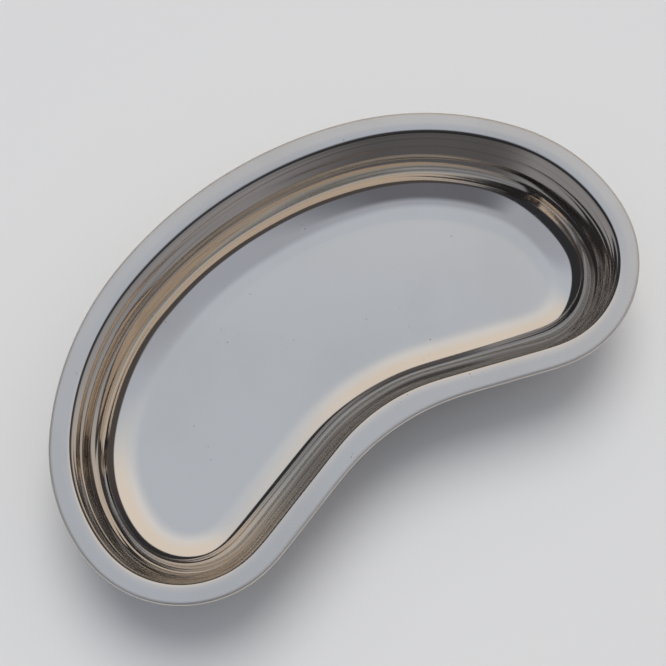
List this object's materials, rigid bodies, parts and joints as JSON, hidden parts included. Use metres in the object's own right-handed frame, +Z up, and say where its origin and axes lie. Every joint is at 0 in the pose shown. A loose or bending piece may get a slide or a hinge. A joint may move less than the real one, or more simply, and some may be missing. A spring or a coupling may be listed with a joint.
{
  "type": "kidney tray",
  "caption": "Shallow kidney-shaped instrument tray in polished steel, with a flat floor, rounded bowl wall and a flat rim with a rolled edge.",
  "frame": {"origin": "on the resting plane under the middle of the bounding box, 38 mm below the top of the rim", "axes": "+Z up out of the bowl, +X along the tray's length, +Y towards the convex back, so the notch faces -Y"},
  "size_m": [0.25, 0.1409, 0.038],
  "materials": {
    "polished_steel": "polished"
  },
  "bodies": {
    "root": {"tray_shell": "polished_steel"}
  },
  "joints": []
}
